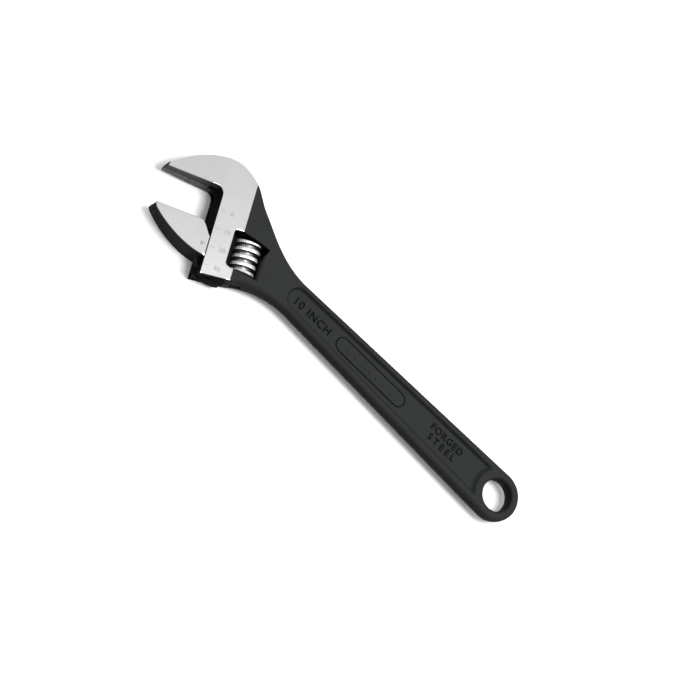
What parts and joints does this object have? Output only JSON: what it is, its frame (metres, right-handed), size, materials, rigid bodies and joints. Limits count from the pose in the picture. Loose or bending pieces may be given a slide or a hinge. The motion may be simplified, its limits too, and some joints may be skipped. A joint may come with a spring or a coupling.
{
  "type": "adjustable wrench",
  "caption": "Adjustable wrench: forged body with fixed jaw and recessed handle, sliding jaw with a rack, knurled worm on a pin with its spring, and a hanging hole.",
  "frame": {"origin": "under the middle of the whole wrench, on the face of the head that it lies on", "axes": "+X along the handle from the jaws to the hanging hole, +Y across the handle towards the fixed jaw's back, +Z through the thickness"},
  "size_m": [0.258, 0.0602, 0.0163],
  "materials": {
    "body_steel": "black phosphate on as-forged steel, with the jaw and shank faces ground bright",
    "jaw_steel": "ground side faces and jaw face, dark forged edges",
    "worm_steel": "bright zinc plate on a knurled thread",
    "pin_steel": "blackened, slotted screw end",
    "spring_steel": "bare spring wire"
  },
  "bodies": {
    "body": {"wrench_body": "body_steel", "worm_pin": "pin_steel", "worm_spring": "spring_steel"},
    "jaw": {"movable_jaw": "jaw_steel"},
    "worm": {"adjusting_worm": "worm_steel"}
  },
  "joints": [
    {"name": "worm_spin", "type": "hinge", "parent": "body", "child": "worm", "pos_m": [-0.06802, -0.00495, 0.00815], "axis": [-0.3827, 0.9239, 0], "range_deg": [-1729.3, 868.8]},
    {"name": "jaw_slide", "type": "slide", "parent": "body", "child": "jaw", "axis": [-0.3827, 0.9239, 0], "range_m": [-0.01, 0.0198]}
  ],
  "couplings": [
    {"joint": "jaw_slide", "follows": "worm_spin", "m_per_rad": -0.00065253}
  ]
}
